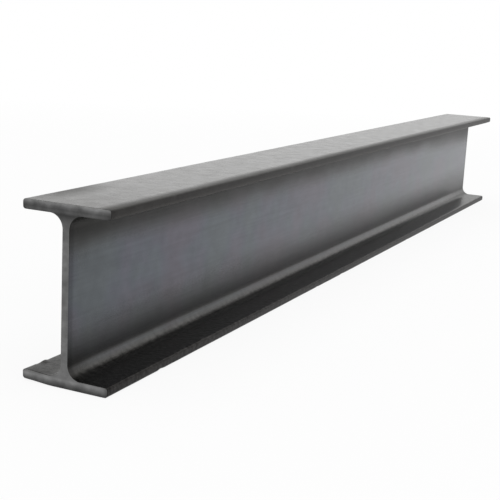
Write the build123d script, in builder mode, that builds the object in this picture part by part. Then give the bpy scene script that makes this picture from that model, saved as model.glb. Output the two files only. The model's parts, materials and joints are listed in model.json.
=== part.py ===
from build123d import *
import os

# One length of hot-rolled steel I-beam, cut square at both ends.
# X runs across the flanges, Y along the beam, and Z is up.
# The origin is on the underside of the bottom flange, midway along the beam and midway across it.

# Driving dimensions, in millimetres
beam_length = 820.0
section_depth = 100.0
flange_width = 55.0
flange_thickness = 5.7
web_thickness = 4.5
root_radius = 8.0
toe_radius = 1.6

os.makedirs("parts", exist_ok=True)

# The rolled bar: two parallel flanges on one web, drawn out along the rolling direction
with BuildPart() as i_beam:
    with BuildSketch(Plane.XZ) as section:
        # Web, from the underside of the beam to its top
        Rectangle(web_thickness, section_depth, align=(Align.CENTER, Align.MIN))
        # Bottom flange
        Rectangle(flange_width, flange_thickness, align=(Align.CENTER, Align.MIN))
        # Top flange, flush with the top of the web
        with Locations((0, section_depth)):
            Rectangle(flange_width, flange_thickness, align=(Align.CENTER, Align.MAX))

        # Corners from one side of the section to the other: toe, web, web, toe
        corner_columns = section.vertices().group_by(Axis.X)
        toe_corners = corner_columns[0] + corner_columns[-1]
        root_corners = corner_columns[1] + corner_columns[-2]
        # The rolls leave a wide hollow fillet where web and flange meet, and softly rounded toes
        fillet(root_corners, radius=root_radius)
        fillet(toe_corners, radius=toe_radius)
    extrude(amount=beam_length / 2, both=True)

i_beam.part.label = "i_beam"
export_step(i_beam.part, "parts/i_beam.step")
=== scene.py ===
import json
import random
from math import pi, radians, sin

import bmesh
import bpy
from mathutils import Matrix, Vector, kdtree, noise


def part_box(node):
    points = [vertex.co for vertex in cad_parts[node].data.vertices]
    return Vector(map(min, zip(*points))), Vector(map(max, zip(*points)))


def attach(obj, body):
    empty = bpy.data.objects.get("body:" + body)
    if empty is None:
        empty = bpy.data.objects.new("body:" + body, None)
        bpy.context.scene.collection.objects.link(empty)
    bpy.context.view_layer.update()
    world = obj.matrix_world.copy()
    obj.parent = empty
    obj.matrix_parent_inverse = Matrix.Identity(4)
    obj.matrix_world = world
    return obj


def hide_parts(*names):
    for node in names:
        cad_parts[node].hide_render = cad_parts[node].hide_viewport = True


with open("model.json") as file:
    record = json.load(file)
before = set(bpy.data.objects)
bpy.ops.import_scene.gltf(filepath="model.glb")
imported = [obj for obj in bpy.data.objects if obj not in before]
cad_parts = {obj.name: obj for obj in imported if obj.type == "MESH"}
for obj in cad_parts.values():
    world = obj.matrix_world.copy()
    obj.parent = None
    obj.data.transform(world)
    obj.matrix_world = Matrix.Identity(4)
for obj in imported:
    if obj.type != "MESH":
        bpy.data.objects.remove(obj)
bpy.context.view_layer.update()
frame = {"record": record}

beamLow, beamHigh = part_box("i_beam")
mountPlaces = {mount["name"]: mount["pos_m"] for mount in frame["record"]["mounts"]}
print("stage: frame loaded, beam", [round(high - low, 4) for low, high in zip(beamLow, beamHigh)])


# Shared helpers

noiseSpan = {"From Min": 0.3, "From Max": 0.7}      # nearly all that a noise texture gives


def hexColour(code):
    # sRGB hex to the linear RGBA that the shaders want
    channels = [int(code[i:i + 2], 16) / 255 for i in (1, 3, 5)]
    linear = [c / 12.92 if c <= 0.04045 else ((c + 0.055) / 1.055) ** 2.4 for c in channels]
    return (*linear, 1.0)


def perMetre(millimetres):
    # texture scale whose features are this many millimetres across
    return 1000 / millimetres


def eitherWay(share):
    # the ends of a shade that lightens and darkens by this share
    return {"To Min": 1 - share, "To Max": 1 + share}


def addNode(tree, kind, inputs=None, **settings):
    # a node with its settings, its fixed inputs and its links in one call; inputs go by name,
    # or by number where names repeat: on a Mix node 2 and 3 are values, 6 and 7 are colours
    node = tree.nodes.new(kind)
    for name, value in settings.items():
        setattr(node, name, value)
    for name, value in (inputs or {}).items():
        if isinstance(value, bpy.types.NodeSocket):
            tree.links.new(value, node.inputs[name])
        else:
            node.inputs[name].default_value = value
    return node


def newMaterial(name):
    material = bpy.data.materials.new(name)
    material.use_nodes = True
    material.node_tree.nodes.clear()
    return material


# The beam: one hot-rolled length, modelled from its section, in metres

beamForm = {
    "webThickness": 2 * mountPlaces["web_face_right"][0],
    "flangeThickness": beamHigh[2] - mountPlaces["top_flange_clamp_right"][2],
    "rootRadius": 0.008,
    "toeRadius": 0.0016,
    "rootSegments": 10,
    "toeSegments": 4,
    "faceSpacing": 0.0026,      # across the flanges and up the web
    "lengthCuts": 319,
    "endCrowding": 0.62,        # 0 spaces the cuts evenly, 1 crowds them at the sawn ends
    "sawnArris": 0.0004,        # the broken edge round each sawn end
    "arrisSegments": 2,
    "waveDepth": 0.00012,       # slow waves that the rolls leave
    "waveLength": 0.11,
    "waveWidth": 0.03,
    "raggedDepth": 0.00016,     # ragged toes, where the section spreads freely between the rolls
    "raggedLength": 0.011,
    "raggedWidth": 0.004,
    "raggedShift": 5,           # takes this noise from another place than the waves
    "knockCount": 26,           # small handling knocks on the toes
    "knockRadius": (0.0016, 0.0045),
    "knockDepth": (0.0002, 0.0007),
    "placedKnocks": (           # place, radius and depth of two that the photo shows
        ((-0.0275, -0.392, 0.0057), 0.0045, 0.0013),        # the nick
        ((-0.0275, -0.410, 0.0000), 0.0200, 0.0011)),       # the worn corner
    "seed": 7,
    "weldDistance": 1e-6,
}

halfWidth = (beamHigh[0] - beamLow[0]) / 2
halfWeb = beamForm["webThickness"] / 2
middleLevel = (beamLow[2] + beamHigh[2]) / 2
shelfLevel = beamLow[2] + beamForm["flangeThickness"]       # upper face of the bottom flange
soffitLevel = beamHigh[2] - beamForm["flangeThickness"]     # under face of the top flange


def sectionFace(bm):
    # sharp outline of the section at the near end, then its roots and toes rounded
    rightSide = [(halfWidth, beamLow[2]), (halfWidth, shelfLevel), (halfWeb, shelfLevel),
                 (halfWeb, soffitLevel), (halfWidth, soffitLevel), (halfWidth, beamHigh[2])]
    leftSide = [(-x, z) for x, z in reversed(rightSide)]
    corners = [bm.verts.new((x, beamLow[1], z)) for x, z in rightSide + leftSide]
    bm.faces.new(corners)
    roots = [v for v in corners if abs(v.co.x) < halfWidth / 2]
    toes = [v for v in corners if abs(v.co.x) > halfWidth / 2]
    for verts, radius, segments in ((roots, "rootRadius", "rootSegments"),
                                    (toes, "toeRadius", "toeSegments")):
        bmesh.ops.bevel(bm, geom=verts, offset=beamForm[radius], offset_type="OFFSET",
                        affect="VERTICES", segments=beamForm[segments], profile=0.5, material=-1)


def splitLongEdges(bm):
    # even points along the flat stretches of the outline
    for edge in list(bm.edges):
        cuts = int(edge.calc_length() / beamForm["faceSpacing"])
        if cuts:
            bmesh.ops.subdivide_edges(bm, edges=[edge], cuts=cuts)


def drawOut(bm):
    # the section drawn out along Y, cut into short lengths that crowd towards the sawn ends
    length = beamHigh[1] - beamLow[1]
    extruded = bmesh.ops.extrude_face_region(bm, geom=list(bm.faces), use_keep_orig=True)["geom"]
    farVerts = [g for g in extruded if isinstance(g, bmesh.types.BMVert)]
    bmesh.ops.translate(bm, verts=farVerts, vec=(0, length, 0))
    longEdges = [e for e in bm.edges if abs(e.verts[0].co.y - e.verts[1].co.y) > length / 2]
    bmesh.ops.subdivide_edges(bm, edges=longEdges, cuts=beamForm["lengthCuts"], use_grid_fill=True)
    for v in bm.verts:
        share = (v.co.y - beamLow[1]) / length
        share -= beamForm["endCrowding"] * sin(2 * pi * share) / (2 * pi)
        v.co.y = beamLow[1] + share * length


def breakArrises(bm):
    # the saw leaves a small broken edge round each cut
    def atEnd(v):
        offEnd = min(abs(v.co.y - beamLow[1]), abs(v.co.y - beamHigh[1]))
        return offEnd < beamForm["weldDistance"]
    caps = [f for f in bm.faces if all(atEnd(v) for v in f.verts)]
    rims = list(dict.fromkeys(e for f in caps for e in f.edges))     # each edge once, in order
    bmesh.ops.bevel(bm, geom=rims, offset=beamForm["sawnArris"], offset_type="OFFSET",
                    affect="EDGES", segments=beamForm["arrisSegments"], profile=0.5, material=-1,
                    clamp_overlap=True)


def rollWaves(bm):
    # every surface sinks a little by slow noise, drawn out along the rolling direction
    bmesh.ops.recalc_face_normals(bm, faces=bm.faces)
    bm.normal_update()
    toeBand = 2 * beamForm["toeRadius"]
    moves = []
    for v in bm.verts:
        p = v.co
        wave = noise.noise(Vector((p.x / beamForm["waveWidth"], p.y / beamForm["waveLength"],
                                   p.z / beamForm["waveWidth"])))
        depth = beamForm["waveDepth"] * (0.5 + 0.5 * wave)
        toeShare = max(0.0, 1 - (halfWidth - abs(p.x)) / toeBand)
        ragged = noise.noise(Vector((p.x / beamForm["raggedWidth"], p.y / beamForm["raggedLength"],
                                     p.z / beamForm["raggedWidth"] + beamForm["raggedShift"])))
        depth += beamForm["raggedDepth"] * toeShare * (0.5 + 0.5 * ragged)
        moves.append((v, -depth * v.normal))
    for v, move in moves:
        v.co += move


def handlingKnocks(bm):
    # small dents where the beam was dropped, dragged and stacked
    rng = random.Random(beamForm["seed"])
    tree = kdtree.KDTree(len(bm.verts))
    for i, v in enumerate(bm.verts):
        tree.insert(v.co, i)
    tree.balance()
    bm.verts.ensure_lookup_table()
    knocks = [(Vector(spot), radius, depth) for spot, radius, depth in beamForm["placedKnocks"]]
    for _ in range(beamForm["knockCount"]):
        spot = Vector((rng.choice((-1, 1)) * halfWidth, rng.uniform(beamLow[1], beamHigh[1]),
                       rng.choice((beamLow[2], shelfLevel, soffitLevel, beamHigh[2]))))
        radius = rng.uniform(*beamForm["knockRadius"])
        knocks.append((spot, radius, rng.uniform(*beamForm["knockDepth"])))
    for spot, radius, depth in knocks:
        inward = (Vector((0, spot.y, middleLevel)) - spot).normalized()
        for co, index, distance in tree.find_range(spot, radius):
            fall = (1 - (distance / radius) ** 2) ** 2
            bm.verts[index].co += inward * depth * fall


def makeBeam(rolledFinish, sawnFinish):
    bm = bmesh.new()
    sectionFace(bm)
    splitLongEdges(bm)
    drawOut(bm)
    breakArrises(bm)
    rollWaves(bm)
    handlingKnocks(bm)
    bmesh.ops.remove_doubles(bm, verts=bm.verts, dist=beamForm["weldDistance"])
    bmesh.ops.recalc_face_normals(bm, faces=bm.faces)
    for face in bm.faces:
        sawn = abs(face.normal.y) > 0.5
        face.material_index = 1 if sawn else 0
        face.smooth = not (sawn and len(face.verts) > 4)        # each cut is one flat face
    mesh = bpy.data.meshes.new("rolledBeam")
    bm.to_mesh(mesh)
    bm.free()
    mesh.materials.append(rolledFinish)
    mesh.materials.append(sawnFinish)
    beam = bpy.data.objects.new("rolledBeam", mesh)
    bpy.context.scene.collection.objects.link(beam)
    return beam


# Finishes

millScale = {
    "scaleBlue": "#565a62",         # tight scale, cold blue-grey
    "scalePlum": "#5a5860",         # faint temper tints
    "scaleGreen": "#565b5f",
    "flatScale": "#555452",         # the rubbed and dusty flats of the flanges have less blue
    "toeScale": "#393736",          # broken, slightly rusty scale on the toes
    "dirtyScale": "#5b5955",        # painted shade and dirt take the blue away too

    # patterns: sizes in millimetres, and the share by which each lightens and darkens
    "patchSize": 45.0,              # temper tints
    "plumSpan": (0.45, 0.62),       # noise values where each tint starts and where it is full
    "greenSpan": (0.52, 0.38),
    "raggedSize": 5.0,              # edge of the broken scale
    "mottleSize": 9.0,
    "mottleShare": 0.08,
    "streakSize": (1.4, 70.0),      # rolling streaks, across and along
    "streakShare": 0.07,
    "sootSize": (22.0, 60.0),       # drifts that shift the edges of the painted shade, across and along
    "grainSize": 3.0,               # dust and fine rust on the bottom flange
    "grainShare": 0.5,
    "flatGrain": 0.25,              # how much of it the other flats have
    "scaleGrain": 0.35,             # grains of the scale, drawn coarser than they are so they show
    "pitSize": 1.1,                 # pits and flakes

    # roughness of clean scale, then what is added to it
    "roughness": 0.18,
    "roughnessSpread": 0.06,        # either way, from grain to grain
    "dirtRoughness": 0.36,          # where the painted shade and stains lie
    "shelfRoughness": 0.13,         # under the dust on the bottom flange
    "edgeRoughness": 0.33,          # along the right-hand edge of the top
    "topRoughness": (0.01, 0.09),   # in patches all over the top
    "toeRoughness": 0.45,           # this one replaces it, where the scale is broken

    # bump: strength, and depth in metres
    "pitRelief": (0.12, 0.0004),
    "streakRelief": (0.1, 0.0005),
    "grainRelief": (0.45, 0.0006),
    "grainLevel": (0.0008, 0.0001),     # from no grain to all of it, above the bottom flange

    # painted shade, stains and other darkening: the share of the light each leaves, and where it
    # fades, in metres
    "cornerShade": 0.3,             # painted shade in the corners under the top flange
    "cornerReach": (0.006, 0.016),  # out from the web
    "soffitShade": 0.45,            # on the rest of that flange's under face
    "sootReach": (0.023, 0.0035),   # down from that face
    "sootWander": 0.008,            # how far the drifts shift the painted shade
    "topReach": (0.0004, 0.0026),   # up from that face to the top, clear of the painted shade
    "footShade": 0.47,              # painted shade at the foot of the web
    "footReach": (0.0123, 0.046),   # up from the bottom flange
    "filletShade": 0.94,            # painted shade on the lower fillets, and on all below them
    "filletReach": (0.0048, 0.007),
    "shelfShade": 0.49,             # painted shade on the bottom flange, under its dust
    "shelfReach": (0.0048, 0.002),
    "dustReach": (0.0012, 0.0032),  # out from the web, for that dust and painted shade
    "edgeShade": 0.6,               # darker along the right-hand edge of the top
    "gripReach": 0.009,             # in from that edge
    "gripWander": 0.003,            # how far the drifts shift it
    "farGrip": 0.5,                 # share of it at the far end
    "farReach": (-0.05, 0.38),      # along the beam, from all of it to that share
    "lowShade": 0.45,               # painted shade along the lower edges
    "lowReach": (0.0005, 0.0038),
    "endShade": 0.72,               # in a band beside each cut
    "endReach": (0.0055, 0.00275),
    "flatsReach": (0.010, 0.002),   # short of the flanges' inner faces
    "toeWear": 0.0012,              # how far the broken scale reaches round each toe
    "toeFade": 0.0009,
    "stains": (                     # stains and patches of painted shade: place, radii and share of the light left, as in the photo
        ((-0.025, -0.372, 0.100), (0.020, 0.045, 0.010), 0.5),      # oil on the top's left edge
        ((0.000, -0.430, 0.100), (0.110, 0.110, 0.110), 0.84),      # painted shade all over the top's near end
        ((0.002, -0.402, 0.083), (0.022, 0.022, 0.022), 0.85),      # painted shade in the corner under it
        ((0.004, -0.415, 0.0115), (0.020, 0.035, 0.012), 0.5),      # painted shade in the lower fillet's near end
        ((0.004, 0.420, 0.0115), (0.010, 0.120, 0.008), 0.6),       # and in its far end
        ((-0.018, -0.400, 0.0057), (0.030, 0.050, 0.005), 0.7),     # the left flange by the cut
        ((0.002, 0.380, 0.0745), (0.020, 0.200, 0.014), 0.75)),     # painted shade low on the far web
}


def millScaledSteel():
    # hot-rolled structural steel left as it came off the rolls: a thin hard oxide,
    # dark and blue-grey when seen square on, and pale as it turns away from the eye
    material = newMaterial("millScaledSteel")
    tree = material.node_tree
    place = addNode(tree, "ShaderNodeTexCoord").outputs["Object"]
    across, along, level = addNode(tree, "ShaderNodeSeparateXYZ", {"Vector": place}).outputs
    offCentre, offMiddle = [
        addNode(tree, "ShaderNodeMath", {0: axis}, operation="ABSOLUTE").outputs[0]
        for axis in (across, along)]

    # noise of each size, and noise drawn out along the beam for the streaks and for the drifts that
    # shift the painted shade and the right-hand edge
    patches, ragged, mottle, grain, scaleGrain, pits = [
        addNode(tree, "ShaderNodeTexNoise",
                {"Vector": place, "Scale": perMetre(millScale[size]),
                 "Detail": detail}).outputs["Fac"]
        for size, detail in (("patchSize", 3.0), ("raggedSize", 4.0), ("mottleSize", 6.0),
                             ("grainSize", 3.0), ("scaleGrain", 1.0), ("pitSize", 5.0))]
    drawn = []
    for width, length in (millScale["streakSize"], millScale["sootSize"]):
        stretched = addNode(tree, "ShaderNodeVectorMath",
                            {0: place, 1: (perMetre(width), perMetre(length), perMetre(width))},
                            operation="MULTIPLY").outputs[0]
        drawn.append(addNode(tree, "ShaderNodeTexNoise",
                             {"Vector": stretched, "Scale": 1.0, "Detail": 3.0}).outputs["Fac"])
    streaks, driftNoise = drawn

    # temper tints, in patches a few centimetres across
    plum, green = [
        addNode(tree, "ShaderNodeMapRange",
                {"Value": patches, "From Min": start, "From Max": full}).outputs["Result"]
        for start, full in (millScale["plumSpan"], millScale["greenSpan"])]

    # the flats of the flanges
    offFlats = addNode(tree, "ShaderNodeMath", {0: level, 1: middleLevel},
                       operation="SUBTRACT").outputs[0]
    offFlats = addNode(tree, "ShaderNodeMath", {0: offFlats}, operation="ABSOLUTE").outputs[0]
    halfClear = (soffitLevel - shelfLevel) / 2
    onFlats = addNode(tree, "ShaderNodeMapRange",
                      {"Value": offFlats, "From Min": halfClear - millScale["flatsReach"][0],
                       "From Max": halfClear - millScale["flatsReach"][1]}).outputs["Result"]

    # broken scale on the toes
    toeEdge = addNode(tree, "ShaderNodeMath", {0: ragged, 1: millScale["toeWear"], 2: offCentre},
                      operation="MULTIPLY_ADD").outputs[0]
    toeStart = halfWidth - millScale["toeWear"] / 2
    broken = addNode(tree, "ShaderNodeMapRange",
                     {"Value": toeEdge, "From Min": toeStart,
                      "From Max": toeStart + millScale["toeFade"]},
                     interpolation_type="SMOOTHSTEP").outputs["Result"]

    # fine mottle, and streaks drawn out by the rolls
    mottleShade, streakShade = [
        addNode(tree, "ShaderNodeMapRange",
                {"Value": pattern, **noiseSpan, **eitherWay(share)}).outputs["Result"]
        for pattern, share in ((mottle, millScale["mottleShare"]),
                               (streaks, millScale["streakShare"]))]

    # painted shade in the corners under the top flange, where it shades the web
    driftedLevel = addNode(tree, "ShaderNodeMath", {0: driftNoise, 1: millScale["sootWander"], 2: level},
                        operation="MULTIPLY_ADD").outputs[0]
    underTop = addNode(tree, "ShaderNodeMapRange",
                       {"Value": offCentre, "From Min": halfWeb + millScale["cornerReach"][0],
                        "From Max": halfWeb + millScale["cornerReach"][1],
                        "To Min": millScale["cornerShade"],
                        "To Max": millScale["soffitShade"]}).outputs["Result"]
    upperShade = addNode(tree, "ShaderNodeMapRange",
                         {"Value": driftedLevel, "From Min": soffitLevel - millScale["sootReach"][0],
                          "From Max": soffitLevel - millScale["sootReach"][1],
                          "To Min": 1.0, "To Max": underTop},
                         interpolation_type="SMOOTHSTEP").outputs["Result"]
    flangeTop = addNode(tree, "ShaderNodeMapRange",
                        {"Value": level, "From Min": soffitLevel + millScale["topReach"][0],
                         "From Max": soffitLevel + millScale["topReach"][1]}).outputs["Result"]
    upperShade = addNode(tree, "ShaderNodeMix",
                         {"Factor": flangeTop, 2: upperShade, 3: 1.0}).outputs[0]

    # painted shade at the foot of the web, on the fillets and on the bottom flange, which also
    # holds dust
    footShade = addNode(tree, "ShaderNodeMapRange",
                        {"Value": driftedLevel, "From Min": shelfLevel + millScale["footReach"][0],
                         "From Max": shelfLevel + millScale["footReach"][1],
                         "To Min": millScale["footShade"], "To Max": 1.0},
                        interpolation_type="SMOOTHSTEP").outputs["Result"]
    aboveFillet, onShelf = [
        addNode(tree, "ShaderNodeMapRange",
                {"Value": level, "From Min": shelfLevel + start,
                 "From Max": shelfLevel + full}).outputs["Result"]
        for start, full in (millScale["filletReach"], millScale["shelfReach"])]
    footShade = addNode(tree, "ShaderNodeMix",
                        {"Factor": aboveFillet, 2: 1.0, 3: footShade}).outputs[0]
    filletShade = addNode(tree, "ShaderNodeMix",
                          {"Factor": aboveFillet, 2: millScale["filletShade"], 3: 1.0}).outputs[0]
    # the bottom flange away from the web: its dust, and its painted shade
    shelfDustAndShade = addNode(tree, "ShaderNodeMapRange",
                    {"Value": offCentre, "From Min": halfWeb + millScale["dustReach"][0],
                     "From Max": halfWeb + millScale["dustReach"][1], "To Max": onShelf},
                    interpolation_type="SMOOTHSTEP").outputs["Result"]

    # grain of dust and fine rust on the bottom flange, and a little on the other flats
    grainShade = addNode(tree, "ShaderNodeMapRange",
                         {"Value": grain, **noiseSpan,
                          **eitherWay(millScale["grainShare"])}).outputs["Result"]
    grainCover = addNode(tree, "ShaderNodeMapRange",
                         {"Value": onFlats, "To Max": millScale["flatGrain"]}).outputs["Result"]
    grainCover = addNode(tree, "ShaderNodeMix", {"Factor": shelfDustAndShade, 2: grainCover, 3: 1.0}).outputs[0]
    grainShade = addNode(tree, "ShaderNodeMix",
                         {"Factor": grainCover, 2: 1.0, 3: grainShade}).outputs[0]

    # darker and rougher along the right-hand edge of the top, less so towards the far end
    rightEdgeFade = addNode(tree, "ShaderNodeMapRange",
                    {"Value": along, "From Min": millScale["farReach"][0],
                     "From Max": millScale["farReach"][1], "To Min": 1.0,
                     "To Max": millScale["farGrip"]}).outputs["Result"]
    rightEdgeFade = addNode(tree, "ShaderNodeMath", {0: rightEdgeFade, 1: flangeTop},
                    operation="MULTIPLY").outputs[0]
    rightEdgeDrift = addNode(tree, "ShaderNodeMath", {0: driftNoise, 1: millScale["gripWander"], 2: across},
                       operation="MULTIPLY_ADD").outputs[0]
    rightEdgeCover = addNode(tree, "ShaderNodeMapRange",
                      {"Value": rightEdgeDrift, "From Min": halfWidth - millScale["gripReach"],
                       "From Max": halfWidth, "To Max": rightEdgeFade},
                      interpolation_type="SMOOTHSTEP").outputs["Result"]
    # painted shade on the bottom flange, and darkening along the right-hand edge of the top
    shelfShade, edgeShade = [
        addNode(tree, "ShaderNodeMapRange",
                {"Value": cover, "To Min": 1.0, "To Max": left}).outputs["Result"]
        for cover, left in ((shelfDustAndShade, millScale["shelfShade"]), (rightEdgeCover, millScale["edgeShade"]))]

    # painted shade along the lower edges
    lowShade = addNode(tree, "ShaderNodeMapRange",
                       {"Value": level, "From Min": beamLow[2] + millScale["lowReach"][0],
                        "From Max": beamLow[2] + millScale["lowReach"][1],
                        "To Min": millScale["lowShade"], "To Max": 1.0},
                       interpolation_type="SMOOTHSTEP").outputs["Result"]

    # a dark line beside each saw cut
    endShade = addNode(tree, "ShaderNodeMapRange",
                       {"Value": offMiddle, "From Min": beamHigh[1] - millScale["endReach"][0],
                        "From Max": beamHigh[1] - millScale["endReach"][1],
                        "To Min": 1.0, "To Max": millScale["endShade"]},
                       interpolation_type="SMOOTHSTEP").outputs["Result"]

    # how much light is left: painted shade by level, and each stain and patch of painted shade
    # where it lies
    lightLeft = addNode(tree, "ShaderNodeMath", {0: upperShade, 1: footShade},
                    operation="MULTIPLY").outputs[0]
    for spot, radii, left in millScale["stains"]:
        reach = addNode(tree, "ShaderNodeVectorMath",
                        {0: place, 1: [1 / r for r in radii],
                         2: [-c / r for c, r in zip(spot, radii)]},
                        operation="MULTIPLY_ADD").outputs[0]
        away = addNode(tree, "ShaderNodeVectorMath", {0: reach},
                       operation="LENGTH").outputs["Value"]
        stainAndShade = addNode(tree, "ShaderNodeMapRange",
                        {"Value": away, "From Min": 1.0, "From Max": 0.0,
                         "To Min": 1.0, "To Max": left},
                        interpolation_type="SMOOTHSTEP").outputs["Result"]
        lightLeft = addNode(tree, "ShaderNodeMath", {0: lightLeft, 1: stainAndShade},
                        operation="MULTIPLY").outputs[0]
    # where the painted shade and stains lie
    shadeAndDirt = addNode(tree, "ShaderNodeMath", {0: 1.0, 1: lightLeft}, operation="SUBTRACT").outputs[0]

    # colour: each tint over those before it, then all the shades
    tint = hexColour(millScale["scaleBlue"])
    for cover, name in ((plum, "scalePlum"), (green, "scaleGreen"), (onFlats, "flatScale"),
                        (broken, "toeScale"), (shadeAndDirt, "dirtyScale")):
        tint = addNode(tree, "ShaderNodeMix",
                       {"Factor": cover, 6: tint, 7: hexColour(millScale[name])},
                       data_type="RGBA").outputs[2]
    shade = lightLeft
    for factor in (mottleShade, streakShade, grainShade, filletShade, shelfShade, edgeShade,
                   lowShade, endShade):
        shade = addNode(tree, "ShaderNodeMath", {0: shade, 1: factor},
                        operation="MULTIPLY").outputs[0]
    colour = addNode(tree, "ShaderNodeVectorMath", {0: tint, "Scale": shade},
                     operation="SCALE").outputs[0]

    # gloss: smooth scale, uneven from grain to grain, duller under the painted shade and stains,
    # and where it is broken
    gloss = addNode(tree, "ShaderNodeMapRange",
                    {"Value": scaleGrain, **noiseSpan,
                     "To Min": millScale["roughness"] - millScale["roughnessSpread"],
                     "To Max": millScale["roughness"] + millScale["roughnessSpread"]}
                    ).outputs["Result"]
    topGloss = addNode(tree, "ShaderNodeMapRange",
                       {"Value": mottle, **noiseSpan, "To Min": millScale["topRoughness"][0],
                        "To Max": millScale["topRoughness"][1]}).outputs["Result"]
    for cover, added in ((shadeAndDirt, millScale["dirtRoughness"]), (shelfDustAndShade, millScale["shelfRoughness"]),
                         (rightEdgeCover, millScale["edgeRoughness"]), (flangeTop, topGloss)):
        gloss = addNode(tree, "ShaderNodeMath", {0: cover, 1: added, 2: gloss},
                        operation="MULTIPLY_ADD").outputs[0]
    gloss = addNode(tree, "ShaderNodeMix",
                    {"Factor": broken, 2: gloss, 3: millScale["toeRoughness"]}).outputs[0]

    # relief: pits and raised flakes of scale, streaks, and dust on the bottom flange
    grainDepth = addNode(tree, "ShaderNodeMapRange",
                         {"Value": level, "From Min": shelfLevel + millScale["grainLevel"][0],
                          "From Max": shelfLevel + millScale["grainLevel"][1],
                          "To Max": millScale["grainRelief"][0]}).outputs["Result"]
    relief = addNode(tree, "ShaderNodeBump",
                     {"Height": pits, "Strength": millScale["pitRelief"][0],
                      "Distance": millScale["pitRelief"][1]}).outputs["Normal"]
    for height, strength, distance in ((streaks, *millScale["streakRelief"]),
                                       (grain, grainDepth, millScale["grainRelief"][1])):
        relief = addNode(tree, "ShaderNodeBump",
                         {"Height": height, "Strength": strength, "Distance": distance,
                          "Normal": relief}).outputs["Normal"]

    shader = addNode(tree, "ShaderNodeBsdfPrincipled",
                     {"Base Color": colour, "Metallic": 1.0, "Roughness": gloss,
                      "Normal": relief})
    addNode(tree, "ShaderNodeOutputMaterial", {"Surface": shader.outputs["BSDF"]})
    return material


sawCut = {
    "steel": "#8b8b8b",
    "roughness": 0.5,
    "trackSpacing": 1.3,        # millimetres between the blade's tracks
    "trackWander": 2.0,
    "trackRelief": (0.25, 0.0003),      # bump strength, and depth in metres
    "tarnish": (                # tarnish, with painted shade lighter towards the top and darker at the lower edge of each flange: share of the height, and the share of the light left there
        (0.0, 0.2), (0.016, 0.25), (0.032, 0.5), (0.05, 0.85), (0.066, 0.62), (0.8, 0.66),
        (0.9, 0.4), (0.94, 0.2), (0.954, 0.38), (0.967, 0.32), (0.98, 0.5), (0.992, 0.85)),
    "blotchSize": 6.0,          # millimetres
    "blotchShade": (0.72, 1.22),
    "blotchWander": 0.001,      # metres by which the blotches shift the tarnish and painted shade
    "toeTarnish": 0.7,          # the light left at the very toes
    "toeReach": 0.003,
}


def sawCutSteel():
    # band-sawn steel, dulled since it was cut: a flatter grey than the scale, with blade tracks
    material = newMaterial("sawCutSteel")
    tree = material.node_tree
    place = addNode(tree, "ShaderNodeTexCoord").outputs["Object"]
    across, along, level = addNode(tree, "ShaderNodeSeparateXYZ", {"Vector": place}).outputs

    # a wave texture repeats 20 / (2 pi) times over each unit of its scale
    tracks = addNode(tree, "ShaderNodeTexWave",
                     {"Vector": place, "Scale": perMetre(sawCut["trackSpacing"]) * 2 * pi / 20,
                      "Distortion": sawCut["trackWander"], "Detail": 2.0, "Detail Scale": 1.5},
                     bands_direction="Z").outputs["Fac"]

    # tarnish, with painted shade darker towards the lower edge of each flange
    blotches = addNode(tree, "ShaderNodeTexNoise",
                       {"Vector": place, "Scale": perMetre(sawCut["blotchSize"]),
                        "Detail": 4.0}).outputs["Fac"]
    drift = addNode(tree, "ShaderNodeMath", {0: blotches, 1: sawCut["blotchWander"], 2: level},
                    operation="MULTIPLY_ADD").outputs[0]
    height = addNode(tree, "ShaderNodeMapRange",
                     {"Value": drift, "From Min": beamLow[2],
                      "From Max": beamHigh[2] + sawCut["blotchWander"] / 2}).outputs["Result"]
    tarnish = addNode(tree, "ShaderNodeValToRGB", {"Fac": height})
    stops = tarnish.color_ramp.elements
    for share, grey in sawCut["tarnish"]:
        stops.new(share).color = (grey, grey, grey, 1.0)
    stops.remove(stops[0])      # the ramp's own black and white
    stops.remove(stops[-1])
    blotchShade = addNode(tree, "ShaderNodeMapRange",
                          {"Value": blotches, **noiseSpan, "To Min": sawCut["blotchShade"][0],
                           "To Max": sawCut["blotchShade"][1]}).outputs["Result"]
    offCentre = addNode(tree, "ShaderNodeMath", {0: across}, operation="ABSOLUTE").outputs[0]
    toeShade = addNode(tree, "ShaderNodeMapRange",
                       {"Value": offCentre, "From Min": halfWidth - sawCut["toeReach"],
                        "From Max": halfWidth, "To Min": 1.0, "To Max": sawCut["toeTarnish"]},
                       interpolation_type="SMOOTHSTEP").outputs["Result"]
    shade = tarnish.outputs["Color"]
    for factor in (blotchShade, toeShade):
        shade = addNode(tree, "ShaderNodeMath", {0: shade, 1: factor},
                        operation="MULTIPLY").outputs[0]
    colour = addNode(tree, "ShaderNodeVectorMath",
                     {0: hexColour(sawCut["steel"])[:3], "Scale": shade},
                     operation="SCALE").outputs[0]

    relief = addNode(tree, "ShaderNodeBump",
                     {"Height": tracks, "Strength": sawCut["trackRelief"][0],
                      "Distance": sawCut["trackRelief"][1]}).outputs["Normal"]
    shader = addNode(tree, "ShaderNodeBsdfPrincipled",
                     {"Base Color": colour, "Metallic": 1.0, "Roughness": sawCut["roughness"],
                      "Normal": relief})
    addNode(tree, "ShaderNodeOutputMaterial", {"Surface": shader.outputs["BSDF"]})
    return material


# Floor, lights and camera

studio = {
    "floorSize": 60.0,
    "floorGap": 0.0002,         # metres below the beam
    "floorColour": "#f7f7f7",
    "floorGlow": 0.9,           # share of the floor's white that needs no light, near the beam
    "glowReach": (0.3, 1.6),    # metres from the middle over which that share grows to 1
    "skyStrength": 0.45,
    "overheadSize": 1.8,
    "overheadPlace": (0, 0, 1.5),
    "overheadPower": 14.0,
    "sideSize": 1.5,
    "sidePlace": (1.6, -0.7, 0.7),
    "sidePower": 6.0,
}


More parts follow.
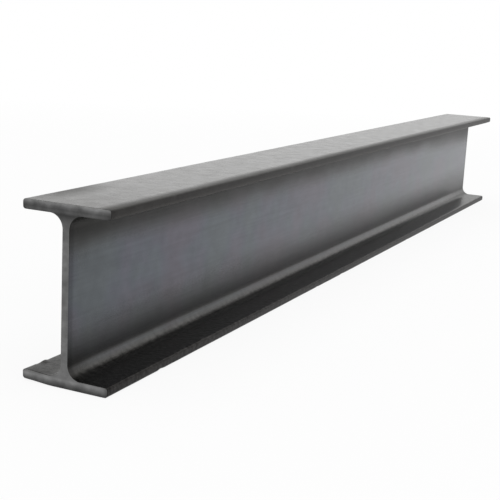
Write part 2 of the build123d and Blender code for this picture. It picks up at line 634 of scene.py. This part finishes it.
def whiteToTheEye(tree):
    # 1 for rays from the camera and for what gloss and glass show, or else 0
    path = addNode(tree, "ShaderNodeLightPath").outputs
    seen = path["Is Camera Ray"]
    for ray in ("Is Glossy Ray", "Is Transmission Ray"):
        seen = addNode(tree, "ShaderNodeMath", {0: seen, 1: path[ray]},
                       operation="MAXIMUM").outputs[0]
    return seen


def paleFloor():
    # matt white board that glows white to the eye, and keeps the beam's shadow near it
    material = newMaterial("paleFloor")
    tree = material.node_tree
    place = addNode(tree, "ShaderNodeTexCoord").outputs["Object"]
    away = addNode(tree, "ShaderNodeVectorMath", {0: place}, operation="LENGTH").outputs["Value"]
    share = addNode(tree, "ShaderNodeMapRange",
                    {"Value": away, "From Min": studio["glowReach"][0],
                     "From Max": studio["glowReach"][1],
                     "To Min": studio["floorGlow"], "To Max": 1.0}).outputs["Result"]
    glow = addNode(tree, "ShaderNodeMath", {0: whiteToTheEye(tree), 1: share},
                   operation="MULTIPLY").outputs[0]
    matt = addNode(tree, "ShaderNodeBsdfDiffuse", {"Color": hexColour(studio["floorColour"])})
    white = addNode(tree, "ShaderNodeEmission", {"Color": (1, 1, 1, 1), "Strength": 1.0})
    mixed = addNode(tree, "ShaderNodeMixShader",
                    {"Fac": glow, 1: matt.outputs[0], 2: white.outputs[0]})
    addNode(tree, "ShaderNodeOutputMaterial", {"Surface": mixed.outputs[0]})
    return material


def makeFloor():
    bm = bmesh.new()
    bmesh.ops.create_grid(bm, x_segments=1, y_segments=1, size=studio["floorSize"] / 2)
    bmesh.ops.translate(bm, verts=bm.verts, vec=(0, 0, beamLow[2] - studio["floorGap"]))
    mesh = bpy.data.meshes.new("studioFloor")
    bm.to_mesh(mesh)
    bm.free()
    mesh.materials.append(paleFloor())
    floor = bpy.data.objects.new("studioFloor", mesh)
    bpy.context.scene.collection.objects.link(floor)


def makeSky():
    world = bpy.data.worlds.new("studioSky")
    world.use_nodes = True
    tree = world.node_tree
    tree.nodes.clear()
    strength = addNode(tree, "ShaderNodeMapRange",
                       {"Value": whiteToTheEye(tree), "To Min": studio["skyStrength"],
                        "To Max": 1.0}).outputs["Result"]
    sky = addNode(tree, "ShaderNodeBackground", {"Color": (1, 1, 1, 1), "Strength": strength})
    addNode(tree, "ShaderNodeOutputWorld", {"Surface": sky.outputs[0]})
    bpy.context.scene.world = world


def softbox(name, place, size, power):
    # a square light that faces the middle of the beam
    light = bpy.data.lights.new(name, "AREA")
    light.shape = "SQUARE"
    light.size = size
    light.energy = power
    lamp = bpy.data.objects.new(name, light)
    turn = (Vector((0, 0, middleLevel)) - Vector(place)).to_track_quat("-Z", "Y")
    lamp.matrix_world = Matrix.Translation(place) @ turn.to_matrix().to_4x4()
    bpy.context.scene.collection.objects.link(lamp)


viewpoint = {
    "place": (0.31222, -0.85119, 0.19552),
    "heading": 25.125,          # degrees, turned left of the beam's length
    "tilt": -12.153,
    "roll": 2.999,
    "lens": 75.90,              # millimetres
    "sensor": 36.0,
}


def makeCamera():
    data = bpy.data.cameras.new("photoCamera")
    data.sensor_width = viewpoint["sensor"]
    data.lens = viewpoint["lens"]
    camera = bpy.data.objects.new("photoCamera", data)
    camera.matrix_world = (Matrix.Translation(viewpoint["place"])
                           @ Matrix.Rotation(radians(viewpoint["heading"]), 4, "Z")
                           @ Matrix.Rotation(radians(90 + viewpoint["tilt"]), 4, "X")
                           @ Matrix.Rotation(radians(viewpoint["roll"]), 4, "Z"))
    bpy.context.scene.collection.objects.link(camera)
    bpy.context.scene.camera = camera


beam = makeBeam(millScaledSteel(), sawCutSteel())
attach(beam, "root")
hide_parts("i_beam")
print("stage: beam modelled,", len(beam.data.polygons), "faces")

makeFloor()
makeSky()
softbox("overheadSoftbox", studio["overheadPlace"], studio["overheadSize"], studio["overheadPower"])
softbox("sideSoftbox", studio["sidePlace"], studio["sideSize"], studio["sidePower"])
makeCamera()
bpy.context.scene.view_settings.view_transform = "Standard"
print("stage: floor, lights and camera placed")
